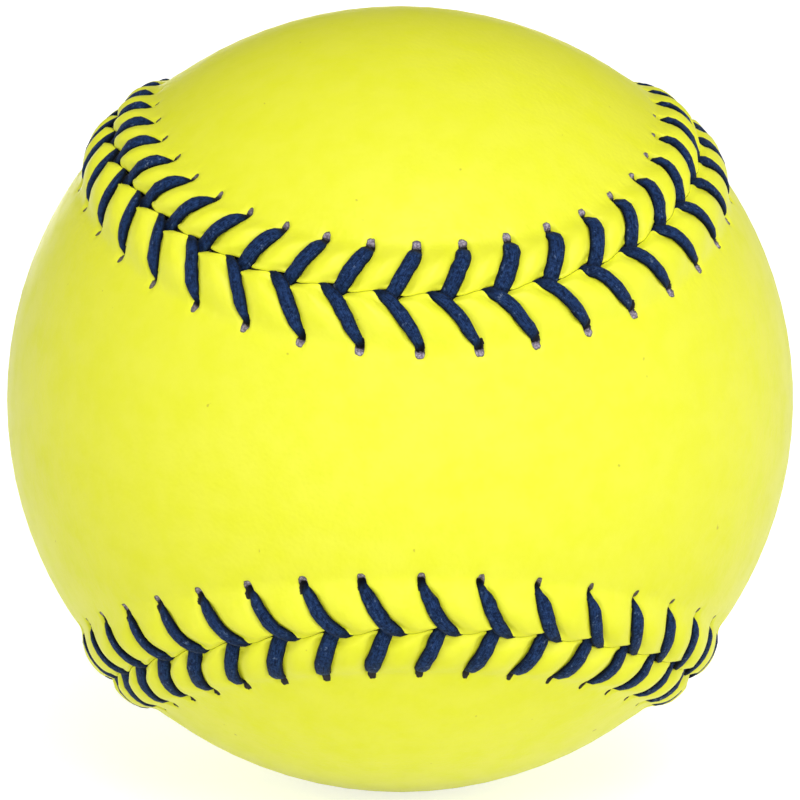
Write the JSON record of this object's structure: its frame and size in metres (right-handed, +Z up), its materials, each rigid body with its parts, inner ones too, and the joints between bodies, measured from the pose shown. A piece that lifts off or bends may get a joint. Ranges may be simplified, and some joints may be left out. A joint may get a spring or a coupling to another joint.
{
  "type": "softball",
  "caption": "Fastpitch softball: foam core in a yellow two-panel leather cover, sewn with dark blue thread along a raised seam.",
  "frame": {"origin": "centre of the ball", "axes": "+Z up through the middle of the ends panel's upper lobe; -Y to the front through the waist of the sides panel; +X to the right through the sides panel's right lobe"},
  "size_m": [0.097, 0.097, 0.097],
  "materials": {
    "core_foam": "cast polyurethane foam with a fine skin",
    "cement": "thin dried latex cement",
    "cover_leather": "smooth optic yellow leather with a fine grain",
    "sewing_thread": "waxed navy blue thread, pressed flat"
  },
  "bodies": {
    "root": {"core": "core_foam", "cement_film": "cement", "leather_panel_ends": "cover_leather", "leather_panel_sides": "cover_leather", "sewing_thread_first": "sewing_thread", "sewing_thread_second": "sewing_thread"}
  },
  "joints": []
}
